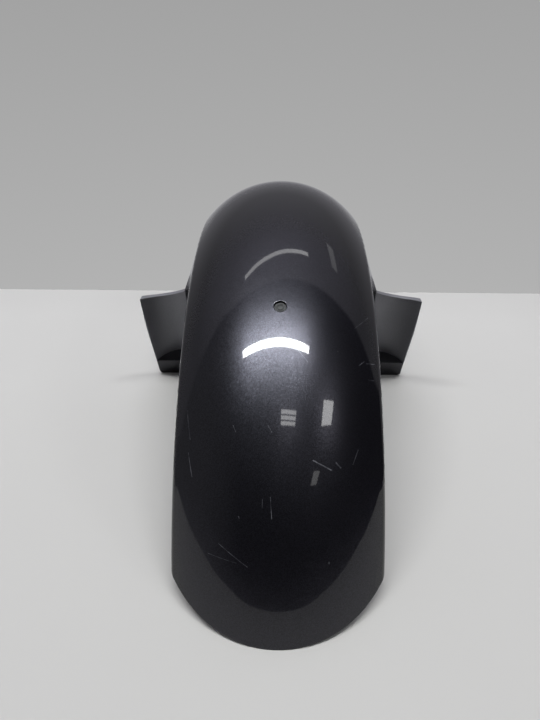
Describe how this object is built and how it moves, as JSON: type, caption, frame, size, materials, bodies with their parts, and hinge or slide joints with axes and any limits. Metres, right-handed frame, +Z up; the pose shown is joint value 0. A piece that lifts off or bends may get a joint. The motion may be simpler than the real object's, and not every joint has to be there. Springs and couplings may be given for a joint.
{
  "type": "motorcycle mudguard",
  "caption": "Front mudguard for a motorcycle: an arched, painted shell with a fork-leg guard on each side and a push rivet in its crown.",
  "frame": {"origin": "centre of the bounding box at its base, on the floor that the mudguard stands on", "axes": "+Z up, +Y towards the short end, +X across the wheel"},
  "size_m": [0.2724, 0.5385, 0.2105],
  "materials": {
    "paint": "gloss metallic graphite paint with clear coat",
    "black_plastic": "satin moulded"
  },
  "bodies": {
    "root": {"mudguard": "paint", "rivet_sleeve": "black_plastic", "rivet_pin": "black_plastic"}
  },
  "joints": []
}
